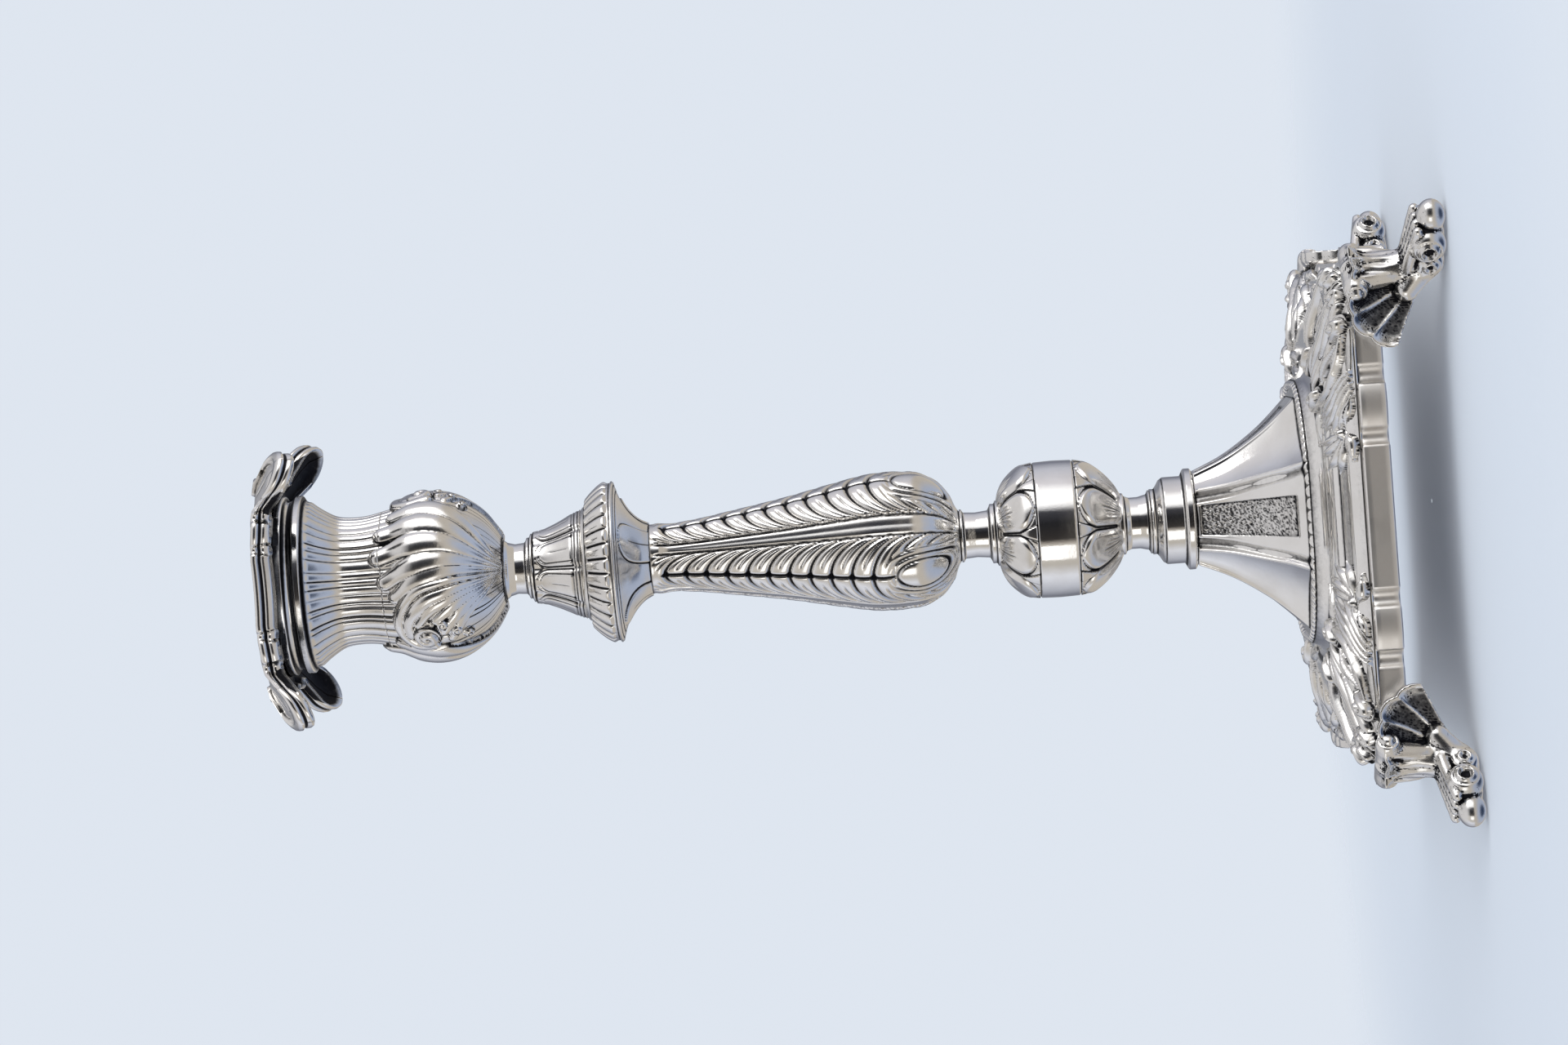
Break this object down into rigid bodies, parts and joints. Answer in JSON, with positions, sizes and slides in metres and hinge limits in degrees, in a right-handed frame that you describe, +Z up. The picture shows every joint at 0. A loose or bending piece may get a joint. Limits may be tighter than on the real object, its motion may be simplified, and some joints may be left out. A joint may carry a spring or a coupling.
{
  "type": "candlestick",
  "caption": "Silver candlestick with scroll feet, square panelled base, ball knop, leaf-chased baluster and leafy cup, with a lift-off drip pan for a standard candle.",
  "frame": {"origin": "on the floor under the candlestick's axis", "axes": "+Z up along the axis; +X and +Y square to the sides of the base"},
  "size_m": [0.1434, 0.1434, 0.281],
  "materials": {
    "polished_silver": "polished silver",
    "oxidised_silver": "polished silver with dark oxidised recesses",
    "cast_silver": "cast silver, oxidised in the recesses",
    "rod_steel": "plain steel"
  },
  "bodies": {
    "stand": {"foot_back_right": "cast_silver", "foot_back_left": "cast_silver", "foot_front_left": "cast_silver", "foot_front_right": "cast_silver", "corner_acanthus_back_right": "cast_silver", "corner_acanthus_back_left": "cast_silver", "corner_acanthus_front_left": "cast_silver", "corner_acanthus_front_right": "cast_silver", "base_plate": "polished_silver", "base_moulding": "oxidised_silver", "base_cone": "polished_silver", "lower_collar": "polished_silver", "lower_neck": "polished_silver", "knop_lower_calyx": "oxidised_silver", "knop_band": "polished_silver", "knop_upper_calyx": "oxidised_silver", "upper_neck": "polished_silver", "baluster": "oxidised_silver", "gadroon_flange": "oxidised_silver", "calyx_bulb": "oxidised_silver", "cup_neck": "polished_silver", "cup_bowl": "oxidised_silver", "cup_sleeve": "oxidised_silver", "cup_rim": "polished_silver", "tie_rod": "rod_steel", "base_washer": "rod_steel", "base_nut": "rod_steel", "cup_washer": "rod_steel", "cup_nut": "rod_steel"},
    "drip_pan": {"drip_pan": "oxidised_silver", "candle_socket": "polished_silver"}
  },
  "joints": [
    {"name": "drip_pan_lift", "type": "slide", "parent": "stand", "child": "drip_pan", "axis": [0, 0, 1], "range_m": [0, 0.04]}
  ]
}
